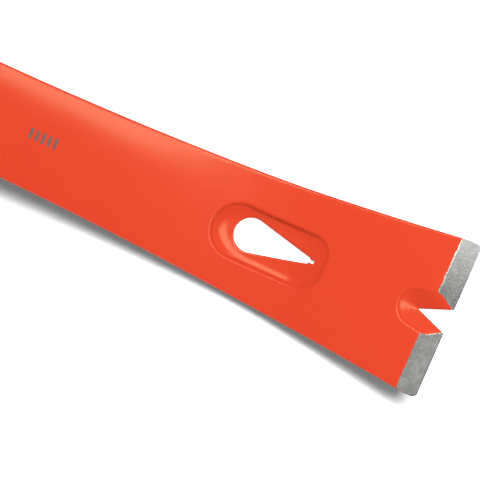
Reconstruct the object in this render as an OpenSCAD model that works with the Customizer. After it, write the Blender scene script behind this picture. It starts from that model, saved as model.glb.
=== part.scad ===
// Flat pry bar. One steel forging with a flared claw, a rocker heel, a crowned shaft and
// a hooked claw, powder coated all over except where the two claws are ground sharp.
//
// The bar lies on the ground on its heel and the edge of its hook, along X, with the
// straight claw at +X. It is the same on both sides of the plane Y = 0, apart from the
// recess, which sits a little to one side.
//
// Distances "along the bar" are arc lengths s from the claw's edge, back to the hook's edge.

/* [Bar] */
// Overall length, from the edge of the claw to the back of the hook
overall_len = 533; // [500:1:600]
// Width of the shaft
shaft_w = 42.5; // [40:0.5:46]
// Thickness of the shaft at its edges
edge_t = 5; // [4.4:0.1:5.6]
// Thickness where the bar is flat-faced, at the heel and the hook
flat_t = 6.2; // [5.6:0.1:7]
// Height of the crown along the shaft's top
crown_top = 1.2; // [0.6:0.1:1.6]
// Height of the crown along the shaft's underside
crown_under = 0.4; // [0.2:0.1:0.8]
// Radius along the bar's long edges
edge_r = 1.3; // [0.9:0.1:1.5]
// Angle at which the shaft rises from the heel
shaft_pitch = 6.5; // [5.5:0.1:7]

/* [Claw] */
// Width across the claw's edge
claw_w = 67.5; // [62:0.5:74]
// Length over which the claw flares
claw_flare = 216; // [190:2:230]
// Hollowness of the flare, where 1 is straight
flare_power = 1.95; // [1.7:0.05:2.4]
// Straight length between the edge and the heel
claw_len = 60; // [55:1:66]
// Angle at which the claw rises from the heel
claw_pitch = 8.5; // [7:0.5:10]
// Radius of the heel bend
heel_r = 150; // [120:5:170]

/* [Hook] */
// Width across the hook's edge
hook_w = 60; // [54:1:66]
// Length over which the hook flares
hook_flare = 95; // [80:5:120]
// Radius of the hook's bend, to the middle of the bar's thickness
hook_r = 24; // [20:1:26]
// Angle that the hook turns through
hook_turn = 90; // [86:1:94]

/* [Claw edges] */
// Thickness of both claws at their edges, before grinding
tip_t = 3.4; // [3:0.1:3.8]
// Thickness left at the ground edges
land = 0.9; // [0.6:0.1:1.2]
// Width of the ground bevels
bevel_w = 8.6; // [7:0.1:10]
// Radius of the outer corners of the claws
corner_r = 2; // [1.5:0.1:3]

/* [Nail slots] */
// Width of a slot's mouth
slot_w = 10.6; // [9:0.1:12]
// Depth of a slot
slot_len = 14.1; // [12:0.1:16]
// Radius of the round-bottomed relief that a nail's head sits in
relief_r = 18; // [16:0.5:22]
// Depth of that relief at the slot's narrow end
relief_depth = 1.9; // [1.4:0.1:2]
// Angle at which the relief deepens towards the edge
relief_tilt = 4; // [2:0.5:5]

/* [Teardrop] */
// Distance along the bar to the middle of the teardrop's round end
drop_s = 88.6; // [86:0.2:90]
// Radius of the round end
drop_r = 7.4; // [6.5:0.1:8]
// Length from the middle of the round end to the narrow end
drop_len = 26.7; // [22:0.1:27.5]
// Radius of the narrow end
drop_tip_r = 1.7; // [1.2:0.1:2]
// Half the width of the pressed recess around the teardrop
recess_half_w = 12.4; // [11:0.1:13]
// Length of the recess behind the middle of the round end
recess_back = 18; // [17:0.1:20]
// Length of the recess in front of the middle of the round end
recess_front = 33.5; // [31:0.1:35]
// How far the recess lies off the middle of the bar's width
recess_offset = -0.9; // [-1.5:0.1:1.5]
// Depth of the recess
recess_depth = 1.8; // [1.1:0.1:2]

/* [Finish] */
// Thickness of the powder coat
coat_t = 0.14; // [0.12:0.01:0.2]
// Distance along the bar to the middle of the printed mark
mark_s = 182.5; // [170:0.5:200]
// Number of bars in the printed mark
mark_count = 5; // [3:1:6]

/* [Hidden] */

// Directions in the side view: along the bar towards the hook, and out of its top face
function along(pitch) = [-cos(pitch), sin(pitch)];
function out_of(pitch) = [sin(pitch), cos(pitch)];

// A blend from 0 to 1 between two places along the bar
function clamp(x) = min(1, max(0, x));
function blend(s, from, to) = let (x = clamp((s - from) / (to - from))) x * x * (3 - 2 * x);

// Ends of the side view's stretches: claw, heel bend, shaft, hook bend, hook
function arc_len(radius, angle) = radius * angle * PI / 180;
hook_pitch = shaft_pitch - hook_turn;
heel_low = [0, flat_t / 2 + coat_t];
heel_front = heel_low - heel_r * (out_of(-claw_pitch) - out_of(0));
heel_back = heel_low - heel_r * (out_of(shaft_pitch) - out_of(0));
hook_bend = hook_r * (out_of(hook_pitch) - out_of(shaft_pitch));

// The shaft and the hook are as long as the overall length and the ground need. The claw's
// edge reaches furthest at its lower corner, and the hook's at its outer one.
claw_tip = heel_front - claw_len * along(-claw_pitch);
claw_reach = claw_tip[0] + sin(claw_pitch) * (tip_t / 2 + coat_t);
hook_back_x = heel_back[0] + hook_bend[0] + out_of(hook_pitch)[0] * (tip_t / 2 + coat_t);
hook_low_z = heel_back[1] + hook_bend[1] + out_of(hook_pitch)[1] * (tip_t / 2 - land);
free_len = overall_len - (claw_reach - hook_back_x);
shaft_len = (-hook_low_z * cos(hook_pitch) - sin(hook_pitch) * free_len) / sin(hook_turn);
hook_len = (sin(shaft_pitch) * free_len + cos(shaft_pitch) * hook_low_z) / sin(hook_turn);
shaft_end = heel_back + shaft_len * along(shaft_pitch);
hook_start = shaft_end + hook_bend;
hook_tip = hook_start + hook_len * along(hook_pitch);
middle_x = claw_reach - overall_len / 2;

// The same ends as distances along the bar
heel_from = claw_len;
heel_to = heel_from + arc_len(heel_r, claw_pitch + shaft_pitch);
bend_from = heel_to + shaft_len;
bend_to = bend_from + arc_len(hook_r, hook_turn);
total_len = bend_to + hook_len;

function pitch(s) =
    s < heel_from ? -claw_pitch :
    s < heel_to ? -claw_pitch + (s - heel_from) / arc_len(heel_r, 1) :
    s < bend_from ? shaft_pitch :
    s < bend_to ? shaft_pitch - (s - bend_from) / arc_len(hook_r, 1) :
    hook_pitch;

// The middle of the bar's thickness, in the side view
function spine(s) =
    s < heel_from ? heel_front + (s - heel_from) * along(-claw_pitch) :
    s < heel_to ? heel_low - heel_r * (out_of(pitch(s)) - out_of(0)) :
    s < bend_from ? heel_back + (s - heel_to) * along(shaft_pitch) :
    s < bend_to ? shaft_end + hook_r * (out_of(pitch(s)) - out_of(shaft_pitch)) :
    hook_start + (s - bend_to) * along(hook_pitch);

// A point of the bar from its place along the bar, across it, and out from its middle
function place(s, across, out) =
    let (p = spine(s) + out * out_of(pitch(s)))
    [p[0] - middle_x, across, p[1]];

// Sizes of the cross-section along the bar
crown_from = heel_to - 4;
crown_to = heel_to + 56;
crown_power = 3;
edge_straight = 5;
function flare(s, length) =
    pow(clamp((length - s) / (length - edge_straight)), flare_power);
function half_w(s) = (shaft_w
    + (claw_w - shaft_w) * flare(s, claw_flare)
    + (hook_w - shaft_w) * flare(total_len - s, hook_flare)) / 2;
function crown(s) = blend(s, crown_from, crown_to) * (1 - blend(s, bend_from - 30, bend_from + 8));
function taper(s) = clamp(s / heel_from) * clamp((total_len - s) / (total_len - bend_from));
function half_t(s) = (tip_t + (flat_t - tip_t) * taper(s) - (flat_t - edge_t) * crown(s)) / 2;

// Height of the top face above the middle of the thickness
function top_at(s, across) =
    half_t(s) + crown_top * crown(s) * (1 - pow(abs(across) / half_w(s), crown_power));

// Half a cross-section's outline from +Y to -Y: a face of top_steps flats between two rounded
// edges of edge_steps flats, for a face with a given crown
top_steps = 7;
edge_steps = 2;
function half_section(w, t, r, crown_h) =
    let (flat_w = w - r, r_out = t + crown_h * (1 - pow(flat_w / w, crown_power)) - r) concat(
        [for (i = [0:edge_steps - 1]) let (a = 90 * i / edge_steps)
            [flat_w + r * cos(a), r_out + r * sin(a)]],
        [for (i = [0:top_steps]) let (y = flat_w * (1 - 2 * i / top_steps))
            [y, t + crown_h * (1 - pow(abs(y) / w, crown_power))]],
        [for (i = [edge_steps - 1:-1:0]) let (a = 90 * i / edge_steps)
            [-flat_w - r * cos(a), r_out + r * sin(a)]]);

// A whole cross-section, grown outwards by grow
function section(s, grow) =
    let (w = half_w(s) + grow, t = half_t(s) + grow, r = edge_r + grow,
        top = half_section(w, t, r, crown_top * crown(s)),
        under = half_section(w, t, r, crown_under * crown(s)))
    concat(top, [for (p = under) [-p[0], -p[1]]]);

// Cross-sections stand closer together where the bar bends or flares
function between(from, to, count) = [for (i = [1:count]) from + (to - from) * i / count];
function stations(overrun) = concat(
    [-overrun, edge_straight],
    between(edge_straight, heel_from, 5),
    between(heel_from, heel_to, 7),
    between(heel_to, claw_flare, 9),
    between(claw_flare, bend_from - 45, 2),
    between(bend_from - 45, bend_from, 4),
    between(bend_from, bend_to, 14),
    between(bend_to, total_len - edge_straight, 3),
    [total_len + overrun]);

// Solid lofted through rings of points, with its two ends closed by the strips that join each
// point to its mirror image
module loft(rings) {
    n = len(rings[0]);
    last = (len(rings) - 1) * n;
    sides = [for (k = [0:len(rings) - 2], i = [0:n - 1], half = [0, 1])
        let (a = k * n + i, b = k * n + (i + 1) % n)
        half == 0 ? [a, b + n, a + n] : [a, b, b + n]];
    strips = [for (i = [0:n / 2 - 2], half = [0, 1])
        half == 0 ? [i, n - 1 - i, i + 1] : [i + 1, n - 1 - i, n - 2 - i]];
    ends = concat(strips, [for (f = strips) [last + f[2], last + f[1], last + f[0]]]);
    polyhedron([for (ring = rings, p = ring) p], concat(sides, ends));
}

// The bar before it is punched, pressed and ground. It overruns both edges.
module blank(grow, overrun) {
    loft([for (s = stations(overrun)) [for (p = section(s, grow)) place(s, p[0], p[1])]]);
}

// The recess pressed around the teardrop, as an outline drawn in by inset at a given depth.
// Its back end is round and its front end is blunter, and it follows the bend of the heel.
recess_front_r = 9;
recess_wall = 3.1;
recess_steps = 6;
recess_over = 1.6;
function recess_arc(middle_s, middle_y, radius, from, to, steps) =
    [for (i = [0:steps]) let (a = from + (to - from) * i / steps)
        [middle_s - radius * cos(a), middle_y + radius * sin(a)]];
function recess_ring(inset, depth, grow) =
    let (front_s = drop_s - recess_front + recess_front_r,
        back_s = drop_s + recess_back - recess_half_w,
        front_y = recess_half_w - recess_front_r,
        front_r = recess_front_r - inset, back_r = recess_half_w - inset,
        outline = concat(
            recess_arc(front_s, front_y, front_r, 0, 90, recess_steps),
            recess_arc(back_s, 0, back_r, 90, 270, recess_steps * 2 + 1),
            recess_arc(front_s, -front_y, front_r, 270, 360, recess_steps)))
    [for (p = outline) let (y = p[1] + recess_offset)
        place(p[0], y, top_at(p[0], y) + grow - depth)];
module recess(grow) {
    slope = recess_depth / recess_wall;
    loft([
        recess_ring(-recess_over, -recess_over * slope, grow),
        recess_ring(recess_wall, recess_depth, grow),
        recess_ring(recess_front_r - 0.5, recess_depth, grow)]);
}

// The teardrop hole, narrowing towards the claw, with a small nick at its narrow end
drop_wall = 30;
nick_r = 0.6;
module teardrop(grow) {
    r = drop_r - grow;
    tip_r = drop_tip_r - grow;
    tip_x = drop_len - drop_tip_r;
    side = asin((r - tip_r) / tip_x);
    at = place(drop_s, 0, 0);
    translate(at) rotate([0, pitch(drop_s), 0]) {
        cylinder(h = drop_wall, r = r, center = true, $fn = 64);
        translate([tip_x, 0, 0]) cylinder(h = drop_wall, r = tip_r, center = true, $fn = 32);
        linear_extrude(height = drop_wall, center = true) polygon([
            [r * sin(side), r * cos(side)], [r * sin(side), -r * cos(side)],
            [tip_x + tip_r * sin(side), -tip_r * cos(side)],
            [tip_x + tip_r * sin(side), tip_r * cos(side)]]);
        translate([drop_len + nick_r / 2, 0, 0])
            cylinder(h = drop_wall, r = nick_r, center = true, $fn = 24);
    }
}

// Both claws are cut in the same frame: the origin at the middle of the edge, +X out of the
// bar and +Z out of the face that is ground, which is the hollow side of the bend
module at_claw() {
    translate([claw_tip[0] - middle_x, 0, claw_tip[1]]) rotate([0, -claw_pitch, 0]) children();
}
module at_hook() {
    translate([hook_tip[0] - middle_x, 0, hook_tip[1]]) rotate([0, 180 + hook_pitch, 0]) children();
}

// Nail slot with its relief. The coat narrows the slot and lifts the relief's floor.
slot_wall = 20;
module nail_slot(grow) {
    side = atan(slot_w / 2 / slot_len);
    depth = slot_len - grow / sin(side);
    mouth = depth * tan(side);
    out = 5;
    linear_extrude(height = slot_wall, center = true) polygon([
        [-depth, 0], [out, -mouth - out * tan(side)], [out, mouth + out * tan(side)]]);
}
module relief(grow, face_t, lean) {
    lift = face_t + relief_r - relief_depth + grow;
    translate([-slot_len, 0, 0]) rotate([0, relief_tilt + lean, 0]) translate([0, 0, lift]) {
        rotate([0, 90, 0]) cylinder(h = slot_len * 2, r = relief_r, $fn = 96);
        sphere(r = relief_r, $fn = 96);
    }
}
function face_lean(length) = atan((flat_t - tip_t) / 2 / length);
claw_lean = face_lean(heel_from);
hook_lean = face_lean(total_len - bend_from);
module slots(grow) {
    claw_face = half_t(slot_len);
    hook_face = half_t(total_len - slot_len);
    at_claw() { nail_slot(grow); relief(grow, claw_face, claw_lean); }
    at_hook() { nail_slot(grow); relief(grow, hook_face, hook_lean); }
}

// What grinding takes off a claw: everything beyond its edge, its outer corners, and a bevel
grind_h = 30;
module grinding(width, lean) {
    bevel_top = tip_t / 2 + bevel_w * tan(lean);
    slope = atan((bevel_top + tip_t / 2 - land) / bevel_w);
    translate([0, -width, -grind_h / 2]) cube([grind_h, width * 2, grind_h]);
    translate([-bevel_w, -width, bevel_top]) rotate([0, slope, 0])
        translate([-bevel_w, 0, 0]) cube([bevel_w * 4, width * 2, grind_h]);
    for (side = [-1, 1]) scale([1, side, 1])
        translate([-corner_r, width / 2 - corner_r, -grind_h / 2]) difference() {
            cube([corner_r * 2, corner_r * 2, grind_h]);
            cylinder(h = grind_h * 3, r = corner_r, center = true, $fn = 32);
        }
}
module grindings() {
    at_claw() grinding(half_w(0) * 2, claw_lean);
    at_hook() grinding(half_w(total_len) * 2, hook_lean);
}

// The bar with everything but the grinding done, grown outwards by grow
module pressed_bar(grow, overrun) {
    difference() {
        blank(grow, overrun);
        recess(grow);
        teardrop(grow);
        slots(grow);
    }
}

module forged_bar() {
    color([0.66, 0.66, 0.64]) difference() {
        pressed_bar(0, 4);
        grindings();
    }
}

module powder_coat() {
    color([0.93, 0.30, 0.19]) difference() {
        pressed_bar(coat_t, 4);
        pressed_bar(0, 6);
        grindings();
    }
}

// A row of plain bars printed on the coat, along the bar
mark_bar = [1.4, 4.6, 0.06];
mark_step = 2.7;
module ink_mark() {
    flat_edge = (half_w(mark_s) - edge_r) / top_steps;
    at = place(mark_s, 0, top_at(mark_s, flat_edge) + coat_t);
    color([0.42, 0.40, 0.40]) translate(at) rotate([0, shaft_pitch, 0])
        for (i = [0:mark_count - 1])
            translate([(i - (mark_count - 1) / 2) * mark_step, 0, mark_bar[2] / 2])
                cube(mark_bar, center = true);
}

forged_bar();
powder_coat();
ink_mark();
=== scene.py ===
"""A flat pry bar on a white floor: one steel forging, its powder coat and its printed mark.

The bar's surface is written as a height above or below the middle of its thickness, at each
place (s, v): s is the arc length from the claw's edge back along the bar, and v is the distance
across it. It is meshed flat in (s, v), lifted to its height, and bent along the bar's side view.
"""
import math

import bmesh
import bpy
import numpy as np
from mathutils import Matrix, Vector, noise
from mathutils.geometry import delaunay_2d_cdt


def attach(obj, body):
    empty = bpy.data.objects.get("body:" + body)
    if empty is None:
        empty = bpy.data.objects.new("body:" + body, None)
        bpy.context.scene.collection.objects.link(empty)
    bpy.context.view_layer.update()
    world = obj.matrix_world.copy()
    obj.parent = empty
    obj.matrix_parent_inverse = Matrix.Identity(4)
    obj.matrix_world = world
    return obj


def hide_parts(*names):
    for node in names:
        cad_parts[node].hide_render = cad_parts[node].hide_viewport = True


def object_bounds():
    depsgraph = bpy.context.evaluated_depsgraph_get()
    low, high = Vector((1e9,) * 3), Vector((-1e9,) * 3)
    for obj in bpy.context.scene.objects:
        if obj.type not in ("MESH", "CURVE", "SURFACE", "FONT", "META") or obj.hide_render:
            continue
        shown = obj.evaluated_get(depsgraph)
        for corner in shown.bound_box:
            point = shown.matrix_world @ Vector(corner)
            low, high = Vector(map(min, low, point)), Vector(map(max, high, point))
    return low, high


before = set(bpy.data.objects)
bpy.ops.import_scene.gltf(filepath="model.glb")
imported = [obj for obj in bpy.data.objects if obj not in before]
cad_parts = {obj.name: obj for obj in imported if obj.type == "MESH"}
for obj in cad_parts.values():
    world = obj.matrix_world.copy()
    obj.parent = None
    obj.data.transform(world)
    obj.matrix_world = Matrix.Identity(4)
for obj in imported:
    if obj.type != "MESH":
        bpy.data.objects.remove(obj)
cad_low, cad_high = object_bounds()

MM = 0.001

# ---------------------------------------------------------------- sizes, in mm and degrees
OVERALL_LEN = 533.0
SHAFT_W = 42.5
EDGE_T = 5.0
FLAT_T = 6.2
CROWN_TOP = 1.2
CROWN_UNDER = 0.4
CROWN_POWER = 3.0
EDGE_R = 0.8
SHAFT_PITCH = 6.5

CLAW_W = 67.5
CLAW_FLARE = 216.0
FLARE_POWER = 1.95
CLAW_LEN = 60.0
CLAW_PITCH = 8.5
HEEL_R = 150.0

HOOK_W = 60.0
HOOK_FLARE = 95.0
HOOK_R = 24.0
HOOK_TURN = 90.0

TIP_T = 3.4
LAND = 0.9
BEVEL_W = 8.6
CORNER_R = 2.0
SLOT_W = 10.6
SLOT_LEN = 14.1
RELIEF_RIM = 8.05
RELIEF_SPREAD = 0.19
RELIEF_WALL = 0.36
RELIEF_FLOOR = 2.9
RELIEF_FALL = 0.03
RELIEF_STEP = 0.36
RELIEF_STEP_W = 0.8

DROP_S = 88.6
DROP_R = 7.4
DROP_LEN = 26.7
DROP_TIP_R = 1.7
RECESS_HALF_W = 12.4
RECESS_V = -0.9
RECESS_BACK = 18.0
RECESS_FRONT = 34.0
RECESS_FRONT_R = 9.0
RECESS_WALL = 4.4
RECESS_DEPTH = 1.5
RECESS_STEP = 1.1
RECESS_STEP_W = 2.1
RECESS_WALL_POWER = 1.6
# Shares of RECESS_DEPTH that the wall and the floor fall, and how these change behind the hole.
RECESS_WALL_SHARE = 0.52
RECESS_WALL_LESS = 0.22
RECESS_FLOOR_SHARE = 0.14
RECESS_BACK_SHARE = 0.66

COAT_T = 0.14
MARK_S = 182.5
MARK_COUNT = 5
MARK_STEP = 2.7
MARK_W = 1.4
MARK_H = 4.6


# ---------------------------------------------------------------- the bar's side view
def along(angle):
    """The way along the bar towards the hook, in the side view's (x, z)."""
    a = np.radians(angle)
    return np.stack([-np.cos(a), np.sin(a)], -1)


def out_of(angle):
    """The way out of the bar's top face, in the side view's (x, z)."""
    a = np.radians(angle)
    return np.stack([np.sin(a), np.cos(a)], -1)


HOOK_PITCH = SHAFT_PITCH - HOOK_TURN
heel_low = np.array([0.0, FLAT_T / 2 + COAT_T])
heel_front = heel_low - HEEL_R * (out_of(-CLAW_PITCH) - out_of(0))
heel_back = heel_low - HEEL_R * (out_of(SHAFT_PITCH) - out_of(0))
hook_bend = HOOK_R * (out_of(HOOK_PITCH) - out_of(SHAFT_PITCH))
claw_tip = heel_front - CLAW_LEN * along(-CLAW_PITCH)
claw_reach = claw_tip[0] + math.sin(math.radians(CLAW_PITCH)) * (TIP_T / 2 + COAT_T)
hook_back_x = heel_back[0] + hook_bend[0] + out_of(HOOK_PITCH)[0] * (TIP_T / 2 + COAT_T)
hook_low_z = heel_back[1] + hook_bend[1] + out_of(HOOK_PITCH)[1] * (TIP_T / 2 - LAND)
free_len = OVERALL_LEN - (claw_reach - hook_back_x)
turn_sin = math.sin(math.radians(HOOK_TURN))
shaft_len = (along(HOOK_PITCH)[0] * hook_low_z - along(HOOK_PITCH)[1] * free_len) / turn_sin
hook_len = (along(SHAFT_PITCH)[1] * free_len - along(SHAFT_PITCH)[0] * hook_low_z) / turn_sin
shaft_end = heel_back + shaft_len * along(SHAFT_PITCH)
hook_start = shaft_end + hook_bend

HEEL_FROM = CLAW_LEN
HEEL_TO = HEEL_FROM + HEEL_R * math.radians(CLAW_PITCH + SHAFT_PITCH)
BEND_FROM = HEEL_TO + shaft_len
BEND_TO = BEND_FROM + HOOK_R * math.radians(HOOK_TURN)
TOTAL = BEND_TO + hook_len
# The CAD frame says where the claw's edge is
MIDDLE_X = claw_reach - cad_high.x / MM


def pitch(s):
    return np.select(
        [s < HEEL_FROM, s < HEEL_TO, s < BEND_FROM, s < BEND_TO],
        [-CLAW_PITCH, -CLAW_PITCH + np.degrees((s - HEEL_FROM) / HEEL_R), SHAFT_PITCH,
         SHAFT_PITCH - np.degrees((s - BEND_FROM) / HOOK_R)],
        HOOK_PITCH)


def spine(s):
    """The middle of the bar's thickness, in the side view."""
    t = s[:, None]
    ways = out_of(pitch(s))
    return np.select(
        [t < HEEL_FROM, t < HEEL_TO, t < BEND_FROM, t < BEND_TO],
        [heel_front + (t - HEEL_FROM) * along(-CLAW_PITCH),
         heel_low - HEEL_R * (ways - out_of(0)),
         heel_back + (t - HEEL_TO) * along(SHAFT_PITCH),
         shaft_end + HOOK_R * (ways - out_of(SHAFT_PITCH))],
        hook_start + (t - BEND_TO) * along(HOOK_PITCH))


def place(s, v, out):
    """Points of the bar in the row frame, in metres."""
    p = spine(s) + out[:, None] * out_of(pitch(s))
    return np.stack([p[:, 0] - MIDDLE_X, v, p[:, 1]], -1) * MM


# ---------------------------------------------------------------- the bar's surface
EDGE_STRAIGHT = 5.0
CROWN_FROM = HEEL_TO - 4
CROWN_TO = HEEL_TO + 56
CREASE = 0.07
RELIEF_BLEND = 0.9
LEAN_CLAW = (FLAT_T - TIP_T) / 2 / HEEL_FROM
LEAN_HOOK = (FLAT_T - TIP_T) / 2 / (TOTAL - BEND_FROM)


def blend(x, start, end):
    t = np.clip((x - start) / (end - start), 0, 1)
    return t * t * (3 - 2 * t)


def ease(x, start, end):
    """Like blend, but steeper in the middle and softer at both ends."""
    t = np.clip((x - start) / (end - start), 0, 1)
    return t * t * t * (t * (6 * t - 15) + 10)


def soft_min(a, b, width):
    h = np.clip(0.5 + 0.5 * (b - a) / width, 0, 1)
    return b * (1 - h) + a * h - width * h * (1 - h)


def flare(x, length):
    share = (length - np.maximum(x, EDGE_STRAIGHT)) / (length - EDGE_STRAIGHT)
    return np.clip(share, 0, 1) ** FLARE_POWER


def half_w(s):
    return (SHAFT_W + (CLAW_W - SHAFT_W) * flare(s, CLAW_FLARE)
            + (HOOK_W - SHAFT_W) * flare(TOTAL - s, HOOK_FLARE)) / 2


def crown(s):
    return blend(s, CROWN_FROM, CROWN_TO) * (1 - blend(s, BEND_FROM - 30, BEND_FROM + 8))


def half_t(s):
    taper = np.clip(s / HEEL_FROM, 0, 1) * np.clip((TOTAL - s) / (TOTAL - BEND_FROM), 0, 1)
    return (TIP_T + (FLAT_T - TIP_T) * taper - (FLAT_T - EDGE_T) * crown(s)) / 2


def relief(x, v, lean):
    """Height of the dished relief around a nail slot, x from the claw's edge: a small step at
    its rim, then a wall of one slope all round that meets a nearly flat bottom."""
    ahead = np.maximum(SLOT_LEN - x, 0)
    inset = RELIEF_RIM + ahead * RELIEF_SPREAD - np.hypot(v, np.maximum(x - SLOT_LEN, 0))
    depth = soft_min(RELIEF_WALL * inset, RELIEF_FLOOR + RELIEF_FALL * inset, RELIEF_BLEND)
    depth = depth + RELIEF_STEP * ease(inset, 0, RELIEF_STEP_W)
    return TIP_T / 2 + x * lean - np.where(inset > 0, depth, inset)


def bevel(x, lean):
    """Height of the plane that a claw is ground to."""
    low = LAND - TIP_T / 2
    high = TIP_T / 2 + BEVEL_W * lean
    return low + (high - low) * x / BEVEL_W


recess_back_s = DROP_S + RECESS_BACK - RECESS_HALF_W
recess_front_s = DROP_S - RECESS_FRONT + RECESS_FRONT_R
recess_front_y = RECESS_HALF_W - RECESS_FRONT_R


def recess_inset(s, v):
    """How far a place is inside the recess's outline."""
    y = np.abs(v - RECESS_V)
    back = RECESS_HALF_W - np.hypot(s - recess_back_s, y)
    corner = RECESS_FRONT_R - np.hypot(s - recess_front_s, np.maximum(y - recess_front_y, 0))
    side = RECESS_HALF_W - y
    return np.where(s > recess_back_s, back, np.where(s < recess_front_s, corner, side))


def recess_depth(s, v):
    """The recess's wall is steepest at its rim, and gentler in front. Its floor falls a little
    more towards the hole, and most of all behind it."""
    inset = recess_inset(s, v)
    behind = blend(s, DROP_S - 3, DROP_S + 12)
    ahead = blend(s, DROP_S - 20, DROP_S - 33)
    wall = 1 - (1 - np.clip(inset / (RECESS_WALL + 1.4 * ahead), 0, 1)) ** RECESS_WALL_POWER
    step = RECESS_STEP * ease(inset, -0.1, RECESS_STEP_W) * (1 - 0.7 * ahead)
    fall = blend(inset, 0, 8.5)
    run = 1 - (1 - np.clip((inset - 2.2) / 7.2, 0, 1)) ** 2
    wall_share = RECESS_WALL_SHARE - RECESS_WALL_LESS * behind
    share = wall_share * wall + RECESS_FLOOR_SHARE * fall + RECESS_BACK_SHARE * behind * run
    return step + RECESS_DEPTH * share


def raw_height(s, v, side):
    """Height of a face before its long edges are rounded and its claw is ground."""
    crown_h = CROWN_TOP if side > 0 else CROWN_UNDER
    face = half_t(s) + crown_h * crown(s) * (1 - np.abs(v / half_w(s)) ** CROWN_POWER)
    if side > 0:
        face = face - recess_depth(s, v)
    x, lean = (s, LEAN_CLAW) if side > 0 else (TOTAL - s, LEAN_HOOK)
    cut = soft_min(face, relief(x, v, lean), CREASE)
    return np.where(x < SLOT_LEN + RELIEF_RIM + 4, cut, face)


def height(s, v, drop, side):
    """Height of a face, lowered by drop where an edge is rounded, then ground."""
    x, lean = (s, LEAN_CLAW) if side > 0 else (TOTAL - s, LEAN_HOOK)
    return np.where(x < BEVEL_W + 2, np.minimum(raw_height(s, v, side) - drop, bevel(x, lean)),
                    raw_height(s, v, side) - drop)


# ---------------------------------------------------------------- outlines in (s, v)
SLOT_ANGLE = math.atan(SLOT_W / 2 / SLOT_LEN)
ROOT_R = 0.3
MOUTH_R = 0.6
HOLE_EDGE_R = 0.35
TIP_EDGE_R = 0.28
NICK = 1.8
NICK_WIDTH = math.radians(22)


def fan(centre, radius, start, end, count):
    """Points and inward normals round a corner: normals turn from start to end, in degrees."""
    a = np.radians(np.linspace(start, end, count))
    n = np.stack([np.cos(a), np.sin(a)], -1)
    return np.asarray(centre) + radius * n, n


def spaced(start, end, step):
    return np.linspace(start, end, max(2, int(round(abs(end - start) / step)) + 1))


def end_outline(edge_half_w):
    """Half a claw's outline from the slot's root to its outer corner, as rows of
    x from the edge, v, normal into the steel, and the radius of its rounded edges."""
    turn = math.degrees(SLOT_ANGLE)
    root = (SLOT_LEN - ROOT_R / math.sin(SLOT_ANGLE), 0.0)
    mouth = (MOUTH_R, (SLOT_LEN - MOUTH_R) * math.tan(SLOT_ANGLE) + MOUTH_R / math.cos(SLOT_ANGLE))
    corner = (CORNER_R, edge_half_w - CORNER_R)
    rows = []

    def add(points, normals, radius):
        rows.extend([*p, *n, radius] for p, n in zip(points, normals))

    points, normals = fan(root, ROOT_R, 7, 90 - turn, 6)
    add(points, normals, HOLE_EDGE_R)
    wall_end, wall_n = fan(mouth, -MOUTH_R, 90 - turn, 90 - turn, 1)
    steps = spaced(0, 1, 0.5 / SLOT_LEN)[1:-1, None]
    add(points[-1] + (wall_end - points[-1]) * steps, np.repeat(wall_n, len(steps), 0), HOLE_EDGE_R)
    add(*fan(mouth, -MOUTH_R, 90 - turn, 0, 6), TIP_EDGE_R)
    edge = spaced(mouth[1], corner[1], 0.7)[1:-1]
    add(np.stack([edge * 0, edge], -1), np.tile([1.0, 0.0], (len(edge), 1)), TIP_EDGE_R)
    add(*fan(corner, -CORNER_R, 0, -90, 9), 0.3)
    return np.array(rows)


def side_outline():
    """The bar's long side between its two outer corners."""
    s = np.concatenate([
        spaced(CORNER_R, 12, 0.5), spaced(12, 30, 0.9), spaced(30, BEND_FROM - 12, 1.7),
        spaced(BEND_FROM - 12, BEND_TO, 1.0), spaced(BEND_TO, TOTAL - 12, 0.9),
        spaced(TOTAL - 12, TOTAL - CORNER_R, 0.5)])
    s = np.unique(np.round(s, 6))[1:-1]
    slope = (half_w(s + 0.05) - half_w(s - 0.05)) / 0.1
    length = np.hypot(slope, 1)
    near_edge = np.minimum(s, TOTAL - s)
    radius = 0.45 + (EDGE_R - 0.45) * blend(near_edge, 3, 26)
    return np.stack([s, half_w(s), slope / length, -1 / length, radius], -1)


def mirrored(rows):
    return (rows * [1, -1, 1, -1, 1])[::-1]


def outer_outline():
    claw = end_outline(float(half_w(np.array([0.0]))[0]))
    hook = end_outline(float(half_w(np.array([TOTAL]))[0]))
    hook = hook * [-1, 1, -1, 1, 1] + [TOTAL, 0, 0, 0, 0]
    half = np.concatenate([claw, side_outline(), hook[::-1]])
    rows = np.concatenate([half, mirrored(half)])
    window = 5
    r = rows[:, 4]
    rows[:, 4] = sum(np.roll(r, k) for k in range(-window, window + 1)) / (2 * window + 1)
    return rows


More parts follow.
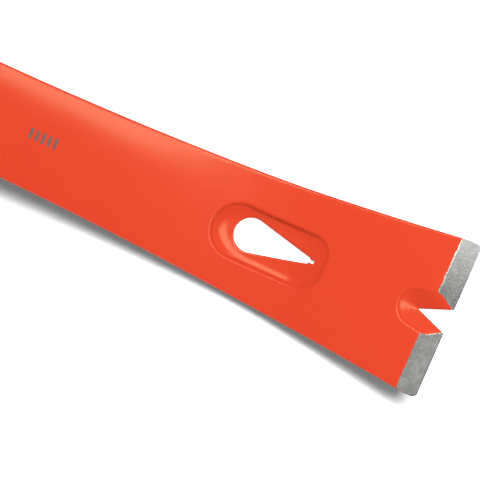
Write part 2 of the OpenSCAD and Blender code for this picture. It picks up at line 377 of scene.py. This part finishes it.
def hole_outline():
    """The teardrop, with the small nick at its narrow end."""
    tip_x = DROP_LEN - DROP_TIP_R
    lean = math.degrees(math.asin((DROP_R - DROP_TIP_R) / tip_x))
    round_end, _ = fan((DROP_S, 0), DROP_R, 0, 90 + lean, 34)
    a = np.radians(np.linspace(90 + lean, 180, 26))
    n = np.stack([np.cos(a), np.sin(a)], -1)
    bulge = NICK * np.exp(-((np.pi - a) / NICK_WIDTH) ** 6)
    tip = np.array([DROP_S - tip_x, 0]) + (DROP_TIP_R + bulge)[:, None] * n
    flank = spaced(0, 1, 0.6 / tip_x)[1:-1, None]
    upper = np.concatenate([round_end, round_end[-1] + (tip[0] - round_end[-1]) * flank, tip])
    points = np.concatenate([upper, (upper * [1, -1])[-2:0:-1]])
    tangent = np.roll(points, -1, 0) - np.roll(points, 1, 0)
    normal = np.stack([-tangent[:, 1], tangent[:, 0]], -1)
    normal /= np.linalg.norm(normal, axis=1)[:, None]
    outward = np.sign(((points - [DROP_S - 6, 0]) * normal).sum(1).mean())
    near_tip = blend(points[:, 0], DROP_S - tip_x - 1, DROP_S - tip_x + 5)
    radius = 0.12 + (HOLE_EDGE_R - 0.12) * near_tip
    return np.column_stack([points, normal * outward, radius])


# ---------------------------------------------------------------- the flat mesh in (s, v)
ROUND_ANGLES = np.radians([0, 18, 40, 64, 90])


def rings(outline):
    """Rows of points from an outline inwards round its rounded edge, and how far each drops."""
    radius = outline[:, 4]
    across = radius * (1 - np.cos(ROUND_ANGLES))[:, None]
    drop = radius * (1 - np.sin(ROUND_ANGLES))[:, None]
    points = outline[None, :, :2] + across[:, :, None] * outline[None, :, 2:4]
    return points, drop


def inside(points, polygon):
    """Whether each point is inside a closed polygon, by counting crossings."""
    result = np.zeros(len(points), bool)
    a, b = polygon, np.roll(polygon, -1, 0)
    for chunk in range(0, len(points), 4000):
        p = points[chunk:chunk + 4000]
        x, y = p[:, 0:1], p[:, 1:2]
        spans = (a[:, 1] > y) != (b[:, 1] > y)
        rise = np.where(b[:, 1] == a[:, 1], 1e-12, b[:, 1] - a[:, 1])
        cross = x < (b[:, 0] - a[:, 0]) * (y - a[:, 1]) / rise + a[:, 0]
        result[chunk:chunk + 4000] = (spans & cross).sum(1) % 2 == 1
    return result


def far_from(points, others, gap):
    keep = np.ones(len(points), bool)
    for chunk in range(0, len(points), 2000):
        p = points[chunk:chunk + 2000]
        d = ((p[:, None, :] - others[None, :, :]) ** 2).sum(2).min(1)
        keep[chunk:chunk + 2000] = d > gap * gap
    return keep


def lattice(s_from, s_to, step_s, columns):
    """A grid of points that spreads with the bar's width."""
    s = spaced(s_from, s_to, step_s)
    u = np.linspace(-1, 1, columns)
    grid_s, grid_u = np.meshgrid(s, u, indexing="ij")
    reach = half_w(grid_s.ravel()) - 0.4
    return np.stack([grid_s.ravel(), grid_u.ravel() * reach], -1)


END_ZONE = 25.0
RECESS_ZONE = (DROP_S - RECESS_FRONT - 2, DROP_S + RECESS_BACK + 2)


def recess_points():
    """Rings of points that follow the recess's outline down its wall, then a grid."""
    insets = np.concatenate([
        np.arange(-0.6, 1.5, 0.22), np.arange(1.8, 4.8, 0.36), np.arange(5.2, 7.6, 0.55)])
    found = []
    for inset in insets:
        front = RECESS_FRONT_R - inset
        back = RECESS_HALF_W - inset
        if front < 0.5:
            break
        arc_count = max(4, int(front * 1.57 / 0.55))
        corner, _ = fan((recess_front_s, recess_front_y), front, 90, 180, arc_count)
        cap, _ = fan((recess_back_s, 0), back, 0, 90, max(6, int(back * 1.57 / 0.6)))
        line = spaced(recess_back_s, recess_front_s, 0.62)[1:-1]
        front_line = spaced(recess_front_y, 0, 0.6)[1:]
        upper = np.concatenate([
            cap, np.stack([line, line * 0 + back], -1), corner,
            np.stack([front_line * 0 + recess_front_s - front, front_line], -1)])
        found.append(np.concatenate([upper, upper[1:-1] * [1, -1]]))
    return np.concatenate(found) + [0, RECESS_V]


def inner_points(side):
    """Points between the rounded edges: close together on what the face is worked into."""
    if side > 0:
        zones = [lattice(0.25, END_ZONE, 0.5, 121),
                 lattice(END_ZONE + 1.2, RECESS_ZONE[0] - 1, 1.4, 45),
                 lattice(RECESS_ZONE[1] + 1, BEND_FROM - 8, 1.8, 27),
                 lattice(BEND_FROM - 7, BEND_TO, 1.0, 27),
                 lattice(BEND_TO + 1, TOTAL - 1, 1.3, 31)]
        grid = lattice(*RECESS_ZONE, 1.1, 41)
        off = recess_inset(grid[:, 0], grid[:, 1])
        zones += [grid[(off < -1.4) | (off > 7.9)], recess_points()]
    else:
        zones = [lattice(1, END_ZONE, 1.2, 41),
                 lattice(END_ZONE + 1, BEND_FROM - 8, 1.9, 25),
                 lattice(BEND_FROM - 7, BEND_TO, 1.0, 27),
                 lattice(BEND_TO + 0.8, TOTAL - END_ZONE, 0.9, 61),
                 lattice(TOTAL - END_ZONE + 0.6, TOTAL - 0.25, 0.5, 111)]
    return np.concatenate(zones)


def natural_edge(v, lean):
    """Where the ground bevel runs out, x from the edge, at each distance across."""
    low, high = np.zeros_like(v), np.full_like(v, BEVEL_W + 1)
    for _ in range(40):
        middle = (low + high) / 2
        face = TIP_T / 2 + middle * lean
        above = np.minimum(face, relief(middle, v, lean)) > bevel(middle, lean)
        low, high = np.where(above, middle, low), np.where(above, high, middle)
    return low


def ragged(v, seed, amount):
    """A slightly uneven line, as a coat breaks along a ground edge."""
    waves = ((1, 0.33, 0), (0.5, 1.1, 5), (0.3, 2.9, 9))
    return np.array([
        amount * sum(part * noise.noise(Vector((y * rate, seed, layer)))
                     for part, rate, layer in waves)
        for y in v])


def coat_edges(ring, outline, side):
    """The lines where the coat stops at the ground bevel, one each side of the nail slot.
    Each is a list of ring indices and points: it starts and ends on the ring."""
    x_of = (lambda p: p[..., 0]) if side > 0 else (lambda p: TOTAL - p[..., 0])
    lean = LEAN_CLAW if side > 0 else LEAN_HOOK
    lines = []
    for half in (1, -1):
        here = np.sign(ring[:, 1]) == half
        on_side = here & (np.abs(outline[:, 3]) > 0.9) & (np.abs(ring[:, 1]) > 20)
        on_slot = here & (np.abs(ring[:, 1]) < 6) & (x_of(ring) < SLOT_LEN)
        x = x_of(ring)
        seed = 3.0 * half + side
        outer_x = BEVEL_W + ragged(np.array([half * 33.0]), seed, 0.45)[0]
        slot_v = np.abs(ring[on_slot, 1])
        slot_x = natural_edge(slot_v, lean)
        first = np.flatnonzero(on_side)[np.argmin(np.abs(x[on_side] - outer_x))]
        last = np.flatnonzero(on_slot)[np.argmin(np.abs(x[on_slot] - slot_x))]
        v = np.arange(abs(ring[first, 1]) - 0.35, abs(ring[last, 1]) + 0.25, -0.35)
        wander = ragged(half * v, seed, 0.45) * np.clip((v - 5) / 3, 0.25, 1)
        line_x = natural_edge(v, lean) + wander
        s = line_x if side > 0 else TOTAL - line_x
        lines.append((first, np.stack([s, half * v], -1), last))
    return lines


def fill(outer_ring, hole_ring, lines, side):
    """Triangles between the two innermost rings, with the coat's edge lines as edges.
    Returns the points and the triangles, the rings' points first."""
    rings_2d = np.concatenate([outer_ring, hole_ring])
    n_outer, n_hole = len(outer_ring), len(hole_ring)
    edges = [(i, (i + 1) % n_outer) for i in range(n_outer)]
    edges += [(n_outer + i, n_outer + (i + 1) % n_hole) for i in range(n_hole)]
    points = [rings_2d]
    count = len(rings_2d)
    for first, line, last in lines:
        ids = [first, *range(count, count + len(line)), last]
        edges += list(zip(ids[:-1], ids[1:]))
        points.append(line)
        count += len(line)
    fixed = np.concatenate(points)
    loose = inner_points(side)
    loose = loose[inside(loose, outer_ring) & ~inside(loose, hole_ring)]
    loose = loose[far_from(loose, fixed, 0.24)]
    points = np.concatenate([fixed, loose])
    verts, _, tris, _, _, _ = delaunay_2d_cdt([Vector(p) for p in points], edges, [], 0, 1e-7, True)
    assert len(verts) == len(points), "the flat mesh gained or lost points"
    tris = np.array(tris)
    centres = points[tris].mean(1)
    tris = tris[inside(centres, outer_ring) & ~inside(centres, hole_ring)]
    return points, tris


class Surface:
    """Collects vertices and faces, with each face's finish and whether it is coated."""

    def __init__(self):
        self.points = []
        self.faces = []
        self.coated = []
        self.finish = []

    def add_points(self, row, drop, side):
        """Lifts flat points to a face's height, and returns the first one's number."""
        start = sum(len(p) for p in self.points)
        s, v = row[:, 0], row[:, 1]
        self.points.append(place(s, v, side * height(s, v, drop, side)))
        return start

    def add_faces(self, faces, coated, finish=None):
        self.faces.extend(faces)
        self.coated.extend(coated)
        self.finish.extend(finish or [GROUND] * len(faces))


def strip(ids, coated):
    """Quads between successive rows of vertex numbers, each row a closed loop."""
    faces, notes = [], []
    for lower, upper in zip(ids[:-1], ids[1:]):
        for i in range(len(lower)):
            j = (i + 1) % len(lower)
            faces.append((lower[i], lower[j], upper[j], upper[i]))
            notes.append(coated[i])
    return faces, notes


def coated_spans(outline, lines, side):
    """For each outline span, whether the coat covers this face beside it."""
    n = len(outline)
    middle = (outline[:, :2] + np.roll(outline, -1, 0)[:, :2]) / 2
    x = middle[:, 0] if side > 0 else TOTAL - middle[:, 0]
    coated = np.ones(n, bool)
    for first, _, last in lines:
        limits = (x[first], x[last])
        half = np.sign(middle[:, 1]) == np.sign(outline[first, 1])
        on_slot = (np.abs(middle[:, 1]) < SLOT_W / 2 + 0.2)
        lo, hi = sorted((first, last))
        span = np.zeros(n, bool)
        span[lo:hi] = True
        ground = span if x[lo:hi].max() < TOTAL / 2 else ~span
        coated &= ~(ground & half & (np.where(on_slot, x < limits[1] + 0.01, x < limits[0] + 0.6)))
    return coated


SIDE_BARE = 6.0
# How the bare steel is coloured: ground, a painted highlight where the coat ends, or painted shade
# along the end edges
GROUND, RIM_HIGHLIGHT, EDGE_SHADE = 0, 1, 2
RIM_HIGHLIGHT_W = 0.42
RIM_HIGHLIGHT_FROM = -9.0
EDGE_SHADE_TO = 20.0


def build_surface():
    """The whole forging as one closed surface, with its ground faces told from the coated."""
    outer, hole = outer_outline(), hole_outline()
    outer_rings, outer_drop = rings(outer)
    hole_rings, hole_drop = rings(hole)
    surface = Surface()
    n_outer, n_hole = len(outer), len(hole)
    rims = {}
    middle = (outer[:, :2] + np.roll(outer, -1, 0)[:, :2]) / 2
    from_edge = np.minimum(middle[:, 0], TOTAL - middle[:, 0])
    tip_span = (from_edge < CORNER_R) & (np.abs(middle[:, 1]) > SLOT_W / 2 - 0.4)
    for side in (1, -1):
        lines = coat_edges(outer_rings[-1], outer, side)
        flat, tris = fill(outer_rings[-1], hole_rings[-1], lines, side)
        ids, hole_ids = [], []
        edges = ((ids, outer_rings, outer_drop), (hole_ids, hole_rings, hole_drop))
        for found, ring_rows, drops in edges:
            for row, drop in zip(ring_rows[:-1], drops[:-1]):
                start = surface.add_points(row, drop, side)
                found.append(list(range(start, start + len(row))))
        start = surface.add_points(flat, 0, side)
        ids.append(list(range(start, start + n_outer)))
        hole_ids.append(list(range(start + n_outer, start + n_outer + n_hole)))
        spans = coated_spans(outer, lines, side) & ~tip_span
        # Painted shade on the rounded end edges, over most of their width
        edge_shade = np.where(tip_span & (middle[:, 1] * side < EDGE_SHADE_TO), EDGE_SHADE, GROUND)
        surface.add_faces(*strip(ids, spans), list(edge_shade) * (len(ids) - 1))
        surface.add_faces(*strip(hole_ids, [True] * n_hole))
        centre = flat[tris].mean(1)
        x = centre[:, 0] if side > 0 else TOTAL - centre[:, 0]
        coated = np.ones(len(tris), bool)
        finish = np.zeros(len(tris), int)
        for (first, line, last), half in zip(lines, (1, -1)):
            ends = outer_rings[-1][[first, last]]
            path = np.concatenate([ends[:1], line, ends[1:]])
            path_x = path[:, 0] if side > 0 else TOTAL - path[:, 0]
            order = np.argsort(np.abs(path[:, 1]))
            limit = np.interp(np.abs(centre[:, 1]), np.abs(path[order, 1]), path_x[order])
            bare = (np.sign(centre[:, 1]) == half) & (x < limit) & (x < BEVEL_W + 3)
            coated &= ~bare
            # Faces right beside the coat's edge get a painted highlight
            finish[bare & (limit - x < RIM_HIGHLIGHT_W) & (side * centre[:, 1] > RIM_HIGHLIGHT_FROM)] = RIM_HIGHLIGHT
        faces = [tuple(int(i) + start for i in t) for t in tris]
        surface.add_faces(faces, list(coated), list(finish))
        rims[side] = (ids[0], hole_ids[0])
    side_ground = (from_edge < SIDE_BARE) & (np.abs(middle[:, 1]) > SLOT_W)
    wall_coated = ~(tip_span | side_ground)
    surface.add_faces(*strip([rims[1][0], rims[-1][0]], list(wall_coated)))
    surface.add_faces(*strip([rims[1][1], rims[-1][1]], [True] * n_hole))
    return np.concatenate(surface.points), surface.faces, surface.coated, surface.finish


# ---------------------------------------------------------------- pieces
def new_object(name, points, faces):
    mesh = bpy.data.meshes.new(name)
    mesh.from_pydata([tuple(p) for p in points], [], faces)
    mesh.validate()
    piece = bpy.data.objects.new(name, mesh)
    bpy.context.scene.collection.objects.link(piece)
    return piece


def smooth(piece, sharp_angle):
    """Smooth shading, broken at edges that turn by more than sharp_angle degrees."""
    mesh = piece.data
    work = bmesh.new()
    work.from_mesh(mesh)
    for face in work.faces:
        face.smooth = True
    limit = math.radians(sharp_angle)
    for edge in work.edges:
        if len(edge.link_faces) == 2 and edge.calc_face_angle() > limit:
            edge.smooth = False
    work.to_mesh(mesh)
    work.free()


def outward_faces(points, faces):
    """The same faces, each turned so that its normal points out of the solid."""
    scratch = new_object("scratch", points, faces)
    work = bmesh.new()
    work.from_mesh(scratch.data)
    bmesh.ops.recalc_face_normals(work, faces=work.faces)
    turned = [tuple(v.index for v in face.verts) for face in work.faces]
    work.free()
    bpy.data.objects.remove(scratch)
    return turned


def vertex_normals(points, faces):
    total = np.zeros_like(points)
    for size in (3, 4):
        group = np.array([f for f in faces if len(f) == size])
        if not len(group):
            continue
        corners = points[group]
        if size == 4:
            normal = np.cross(corners[:, 2] - corners[:, 0], corners[:, 3] - corners[:, 1])
        else:
            normal = np.cross(corners[:, 1] - corners[:, 0], corners[:, 2] - corners[:, 0])
        for k in range(size):
            np.add.at(total, group[:, k], normal)
    length = np.linalg.norm(total, axis=1)
    return total / np.where(length > 0, length, 1)[:, None]


# How thick the coat is at its ground edge and one face away from it, as shares of COAT_T
COAT_AT_RIM = 0.5
COAT_NEAR_RIM = 0.85


def make_coat(points, faces):
    """A closed skin COAT_T thick over some of the forging's faces, thinner at its ground edges."""
    normals = vertex_normals(points, faces)
    used = np.unique(np.concatenate([np.array(f) for f in faces]))
    number = {int(v): i for i, v in enumerate(used)}
    border = {}
    for face in faces:
        for a, b in zip(face, face[1:] + face[:1]):
            if (b, a) in border:
                del border[(b, a)]
            else:
                border[(a, b)] = True
    thickness = np.full(len(points), COAT_T)
    rim = {v for edge in border for v in edge}
    for face in faces:
        if any(v in rim for v in face):
            for v in face:
                thickness[v] = min(thickness[v], COAT_T * COAT_NEAR_RIM)
    thickness[list(rim)] = COAT_T * COAT_AT_RIM
    outer = points + normals * thickness[:, None] * MM
    n = len(used)
    skin = [tuple(number[v] for v in face) for face in faces]
    skin += [tuple(number[v] + n for v in reversed(face)) for face in faces]
    skin += [(number[b], number[a], number[a] + n, number[b] + n) for a, b in border]
    return new_object("powder_coat_skin", np.concatenate([outer[used], points[used]]), skin)


def make_marks():
    """Plain bars of ink that lie on the coat, each with round corners."""
    points, faces = [], []
    rows, columns = 15, 7
    ink, sunk, corner = 0.045, 0.03, 0.35
    for k in range(MARK_COUNT):
        s0 = MARK_S + (k - (MARK_COUNT - 1) / 2) * MARK_STEP
        u = np.linspace(-1, 1, columns)
        w = np.linspace(-1, 1, rows)
        grid_w, grid_u = np.meshgrid(w, u, indexing="ij")
        reach = MARK_H / 2 - np.abs(grid_w) * MARK_H / 2
        pull = corner - np.sqrt(np.maximum(corner ** 2 - np.maximum(corner - reach, 0) ** 2, 0))
        s = (s0 + grid_u * (MARK_W / 2 - pull)).ravel()
        v = (grid_w * MARK_H / 2).ravel()
        base = raw_height(s, v, 1) + COAT_T
        rim = ((np.abs(grid_u) > 0.99) | (np.abs(grid_w) > 0.99)).ravel()
        start = sum(len(p) for p in points)
        points.append(place(s, v, base + np.where(rim, ink * 0.4, ink)))
        points.append(place(s, v, base - sunk))
        size = rows * columns

        def at(i, j):
            return start + i * columns + j

        for i in range(rows - 1):
            for j in range(columns - 1):
                quad = (at(i, j), at(i, j + 1), at(i + 1, j + 1), at(i + 1, j))
                faces.append(quad)
                faces.append(tuple(v + size for v in reversed(quad)))
        loop = [at(0, j) for j in range(columns)]
        loop += [at(i, columns - 1) for i in range(1, rows)]
        loop += [at(rows - 1, j) for j in range(columns - 2, -1, -1)]
        loop += [at(i, 0) for i in range(rows - 2, 0, -1)]
        for a, b in zip(loop, loop[1:] + loop[:1]):
            faces.append((b, a, a + size, b + size))
    joined = np.concatenate(points)
    return new_object("ink_bars", joined, outward_faces(joined, faces))


# ---------------------------------------------------------------- materials
def new_material(name):
    material = bpy.data.materials.new(name)
    material.use_nodes = True
    nodes = material.node_tree.nodes
    return material, nodes, material.node_tree.links, nodes["Principled BSDF"]


def add_noise(nodes, links, coordinates, scale, detail, roughness=0.5):
    """Noise in object space: scale is in features per metre."""
    tex = nodes.new("ShaderNodeTexNoise")
    tex.inputs["Scale"].default_value = scale
    tex.inputs["Detail"].default_value = detail
    tex.inputs["Roughness"].default_value = roughness
    links.new(coordinates, tex.inputs["Vector"])
    return tex.outputs["Fac"]


def add_range(nodes, links, value, low, high, to_low, to_high):
    node = nodes.new("ShaderNodeMapRange")
    node.inputs["From Min"].default_value = low
    node.inputs["From Max"].default_value = high
    node.inputs["To Min"].default_value = to_low
    node.inputs["To Max"].default_value = to_high
    links.new(value, node.inputs["Value"])
    return node.outputs["Result"]


def add_mix(nodes, links, factor, a, b):
    """A colour between a and b; either is a colour or another node's output."""
    node = nodes.new("ShaderNodeMix")
    node.data_type = "RGBA"
    links.new(factor, node.inputs["Factor"])
    for socket, value in ((node.inputs["A"], a), (node.inputs["B"], b)):
        if isinstance(value, tuple):
            socket.default_value = (*value, 1)
        else:
            links.new(value, socket)
    return node.outputs["Result"]


def add_bump(nodes, links, height_value, distance, strength, normal=None):
    node = nodes.new("ShaderNodeBump")
    node.inputs["Distance"].default_value = distance
    node.inputs["Strength"].default_value = strength
    links.new(height_value, node.inputs["Height"])
    if normal is not None:
        links.new(normal, node.inputs["Normal"])
    return node.outputs["Normal"]


def coat_material():
    """Orange-red powder coat: satin, with a faint orange peel."""
    material, nodes, links, shader = new_material("powder_coat_paint")
    place_in = nodes.new("ShaderNodeTexCoord").outputs["Object"]
    broad = add_noise(nodes, links, place_in, 45, 2)
    fine = add_noise(nodes, links, place_in, 1400, 2)
    colour = add_mix(nodes, links, add_range(nodes, links, broad, 0.35, 0.65, 0, 1),
                     (0.447, 0.0357, 0.0138), (0.452, 0.0365, 0.0142))
    flecks = add_range(nodes, links, fine, 0.62, 0.8, 0, 0.12)
    colour = add_mix(nodes, links, flecks, colour, (0.44, 0.028, 0.0095))
    links.new(colour, shader.inputs["Base Color"])
    links.new(add_range(nodes, links, broad, 0.3, 0.7, 0.18, 0.2), shader.inputs["Roughness"])
    shader.inputs["Specular IOR Level"].default_value = 0.105
    shader.inputs["Specular Tint"].default_value = (1.0, 0.9, 0.55, 1)
    peel = add_noise(nodes, links, place_in, 620, 1.5)
    links.new(add_bump(nodes, links, peel, 0.00003, 0.4), shader.inputs["Normal"])
    return material


def steel_material(name, dark, light, outer_plus_y_tone):
    """Bare spring steel: grey, faintly wheel-lined, speckled, darker by its slot on +Y, lighter out
    at +Y.
    """
    material, nodes, links, shader = new_material(name)
    place_in = nodes.new("ShaderNodeTexCoord").outputs["Object"]
    stretch = nodes.new("ShaderNodeMapping")
    stretch.inputs["Scale"].default_value = (0.35, 1, 1)
    links.new(place_in, stretch.inputs["Vector"])
    lines = add_noise(nodes, links, stretch.outputs["Vector"], 1900, 3, 0.6)
    blotch = add_noise(nodes, links, place_in, 230, 4, 0.6)
    speck = add_noise(nodes, links, place_in, 1150, 3, 0.75)
    colour = add_mix(nodes, links, add_range(nodes, links, blotch, 0.34, 0.66, 0, 1),
                     dark, light)
    split = nodes.new("ShaderNodeSeparateXYZ")
    links.new(place_in, split.inputs[0])
    worn = nodes.new("ShaderNodeMath")
    worn.operation = "MULTIPLY"
    links.new(add_range(nodes, links, speck, 0.5, 0.62, 0, 1), worn.inputs[0])
    links.new(add_range(nodes, links, split.outputs["Y"], -0.004, 0.004, 0.2, 0.95), worn.inputs[1])
    colour = add_mix(nodes, links, worn.outputs[0], colour, (0.05, 0.051, 0.049))
    # Set by place across the bar: darker from the slot towards +Y, then lighter towards the +Y
    # outer corner
    darker_on_plus_y = add_range(nodes, links, split.outputs["Y"], -0.003, 0.005, 0, 0.4)
    colour = add_mix(nodes, links, darker_on_plus_y, colour, (0.045, 0.046, 0.044))
    lighter_out_plus_y = add_range(nodes, links, split.outputs["Y"], 0.009, 0.032, 0, 0.85)
    colour = add_mix(nodes, links, lighter_out_plus_y, colour, outer_plus_y_tone)
    links.new(colour, shader.inputs["Base Color"])
    shader.inputs["Metallic"].default_value = 0.85
    links.new(add_range(nodes, links, lines, 0.3, 0.7, 0.48, 0.62), shader.inputs["Roughness"])
    normal = add_bump(nodes, links, lines, 0.00003, 0.5)
    normal = add_bump(nodes, links, speck, 0.00002, 0.5, normal)
    links.new(normal, shader.inputs["Normal"])
    return material


def ink_material():
    """Dark grey printing ink, slightly thin in places."""
    material, nodes, links, shader = new_material("grey_ink")
    place_in = nodes.new("ShaderNodeTexCoord").outputs["Object"]
    patch = add_noise(nodes, links, place_in, 1500, 3)
    colour = add_mix(nodes, links, add_range(nodes, links, patch, 0.4, 0.7, 0, 1),
                     (0.1, 0.046, 0.041), (0.17, 0.074, 0.062))
    links.new(colour, shader.inputs["Base Color"])
    links.new(add_range(nodes, links, patch, 0.3, 0.7, 0.5, 0.6), shader.inputs["Roughness"])
    shader.inputs["Specular IOR Level"].default_value = 0.15
    return material


FLOOR_HALF = 6.0
# Painted light on the floor under the two openings, filling their shadow: place along the bar and
# the patch's two radii, in mm
PAINTED_LIGHT_SPOTS = [(DROP_S - 10, 20.5, 9), (SLOT_LEN / 2 - 2, 11, 6.5)]


def floor_material():
    """White paper, with painted light under the bar's openings that fills the shadow there, and a
    glow that grows away from the bar.
    """
    material, nodes, links, shader = new_material("white_floor")
    place_in = nodes.new("ShaderNodeTexCoord").outputs["Object"]
    tone = add_noise(nodes, links, place_in, 3, 1)
    colour = add_mix(nodes, links, tone, (0.94, 0.94, 0.945), (0.95, 0.95, 0.95))
    links.new(colour, shader.inputs["Base Color"])
    shader.inputs["Roughness"].default_value = 0.9
    shader.inputs["Specular IOR Level"].default_value = 0.0
    shader.inputs["Emission Color"].default_value = (1, 1, 1, 1)
    painted_light = None
    for s, long_r, wide_r in PAINTED_LIGHT_SPOTS:
        shift = nodes.new("ShaderNodeMapping")
        shift.vector_type = "TEXTURE"
        under = place(np.array([s]), np.zeros(1), np.zeros(1))[0]
        shift.inputs["Location"].default_value = (under[0], 0, 0)
        shift.inputs["Scale"].default_value = (long_r * MM, wide_r * MM, 1)
        links.new(place_in, shift.inputs["Vector"])
        reach = nodes.new("ShaderNodeVectorMath")
        reach.operation = "LENGTH"
        links.new(shift.outputs["Vector"], reach.inputs[0])
        patch = add_range(nodes, links, reach.outputs["Value"], 1.3, 0.95, 0, 1.0)
        if painted_light is not None:
            both = nodes.new("ShaderNodeMath")
            both.operation = "ADD"
            links.new(painted_light, both.inputs[0])
            links.new(patch, both.inputs[1])
            patch = both.outputs[0]
        painted_light = patch
    # The floor's emission: painted light under the openings, plus a glow that grows away from the
    # bar
    reach = nodes.new("ShaderNodeVectorMath")
    reach.operation = "LENGTH"
    links.new(place_in, reach.inputs[0])
    far = nodes.new("ShaderNodeMath")
    far.operation = "ADD"
    links.new(painted_light, far.inputs[0])
    links.new(add_range(nodes, links, reach.outputs["Value"], 0.5, 1.4, 0, 0.9), far.inputs[1])
    links.new(far.outputs[0], shader.inputs["Emission Strength"])
    return material


def dress(piece, materials, node, finish=None):
    for material in materials:
        piece.data.materials.append(material)
    if finish:
        piece.data.polygons.foreach_set("material_index", finish)
    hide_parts(node)
    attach(piece, "root")


# ---------------------------------------------------------------- the studio
CAMERA_ROLL = 24.29
CAMERA_TILT = 5.0
CAMERA_DISTANCE = 900.0
VIEW_WIDTH = 205.6
SENSOR_W = 36.0


def camera_axes():
    """The picture's right, its up along the floor, and the way the camera looks."""
    roll, tilt = math.radians(CAMERA_ROLL), math.radians(CAMERA_TILT)
    right = Vector((math.cos(roll), math.sin(roll), 0))
    up = Vector((-math.sin(roll), math.cos(roll), 0))
    forward = Vector((0, 0, -1)) * math.cos(tilt) + up * math.sin(tilt)
    return right, up, forward


def add_camera():
    right, _, forward = camera_axes()
    target = Vector((180.4, -5.9, 5.0)) * MM
    data = bpy.data.cameras.new("camera")
    data.sensor_width = SENSOR_W
    data.lens = SENSOR_W * CAMERA_DISTANCE / VIEW_WIDTH
    data.clip_start = 0.05
    camera = bpy.data.objects.new("camera", data)
    up = right.cross(forward)
    camera.matrix_world = Matrix((
        (right.x, up.x, -forward.x, 0), (right.y, up.y, -forward.y, 0),
        (right.z, up.z, -forward.z, 0), (0, 0, 0, 1)))
    camera.location = target - forward * CAMERA_DISTANCE * MM
    bpy.context.scene.collection.objects.link(camera)
    bpy.context.scene.camera = camera


def add_light(name, bearing, elevation, distance, size, power, glints):
    """An area light aimed at the claw. Bearing 0 is the picture's top and 90 its right."""
    right, up, _ = camera_axes()
    b, e = math.radians(bearing), math.radians(elevation)
    level = up * math.cos(b) + right * math.sin(b)
    aim = Vector((0.2, 0, 0))
    data = bpy.data.lights.new(name, "AREA")
    data.shape = "RECTANGLE"
    data.size, data.size_y = size
    data.energy = power
    light = bpy.data.objects.new(name, data)
    way = level * math.cos(e) + Vector((0, 0, math.sin(e)))
    light.location = aim + way * distance
    light.rotation_mode = "QUATERNION"
    light.rotation_quaternion = (-way).to_track_quat("-Z", "Y")
    light.visible_camera = False
    light.visible_glossy = glints
    bpy.context.scene.collection.objects.link(light)


def add_world():
    world = bpy.data.worlds.new("studio")
    world.use_nodes = True
    nodes, links = world.node_tree.nodes, world.node_tree.links
    back = nodes["Background"]
    back.inputs["Color"].default_value = (1, 1, 1, 1)
    back.inputs["Strength"].default_value = 0.31
    seen = nodes.new("ShaderNodeBackground")
    seen.inputs["Strength"].default_value = 1.0
    seen.inputs["Color"].default_value = (1, 1, 1, 1)
    mix = nodes.new("ShaderNodeMixShader")
    path = nodes.new("ShaderNodeLightPath")
    links.new(path.outputs["Is Camera Ray"], mix.inputs[0])
    links.new(back.outputs[0], mix.inputs[1])
    links.new(seen.outputs[0], mix.inputs[2])
    links.new(mix.outputs[0], nodes["World Output"].inputs["Surface"])
    bpy.context.scene.world = world


def add_floor():
    corners = np.array([(-1, -1, 0), (1, -1, 0), (1, 1, 0), (-1, 1, 0)]) * FLOOR_HALF
    floor = new_object("floor", corners, [(0, 1, 2, 3)])
    floor.data.materials.append(floor_material())


# ---------------------------------------------------------------- the scene
add_camera()
add_world()
add_floor()
add_light("key", 50, 67.5, 0.9, (0.86, 0.3), 15.8, True)
add_light("low_fill", 205, 2.5, 1.2, (1.4, 0.05), 11, False)
bpy.context.scene.view_settings.view_transform = "Standard"

bar_points, bar_faces, bar_coated, bar_finish = build_surface()
bar_faces = outward_faces(bar_points, bar_faces)
steel = new_object("forged_steel", bar_points, bar_faces)
coat = make_coat(bar_points, [f for f, note in zip(bar_faces, bar_coated) if note])
# Keeps the floor's shadow grey, as a studio floor looks beside a bright paint
coat.visible_diffuse = False
marks = make_marks()
smooth(steel, 24)
smooth(coat, 50)
smooth(marks, 60)
steels = [
    steel_material("ground_steel",
                   (0.087, 0.09, 0.085), (0.127, 0.13, 0.124), (0.182, 0.186, 0.18)),
    # Painted highlight for the steel beside the coat's edge
    steel_material("steel_painted_rim_highlight", (0.23, 0.23, 0.20), (0.36, 0.355, 0.31), (0.36, 0.355, 0.31)),
    # Painted shade for the bar's end edges
    steel_material("steel_painted_edge_shade", (0.03, 0.031, 0.029), (0.06, 0.061, 0.058), (0.06, 0.061, 0.058)),
]
dress(steel, steels, "forged_bar", bar_finish)
dress(coat, [coat_material()], "powder_coat")
dress(marks, [ink_material()], "ink_mark")
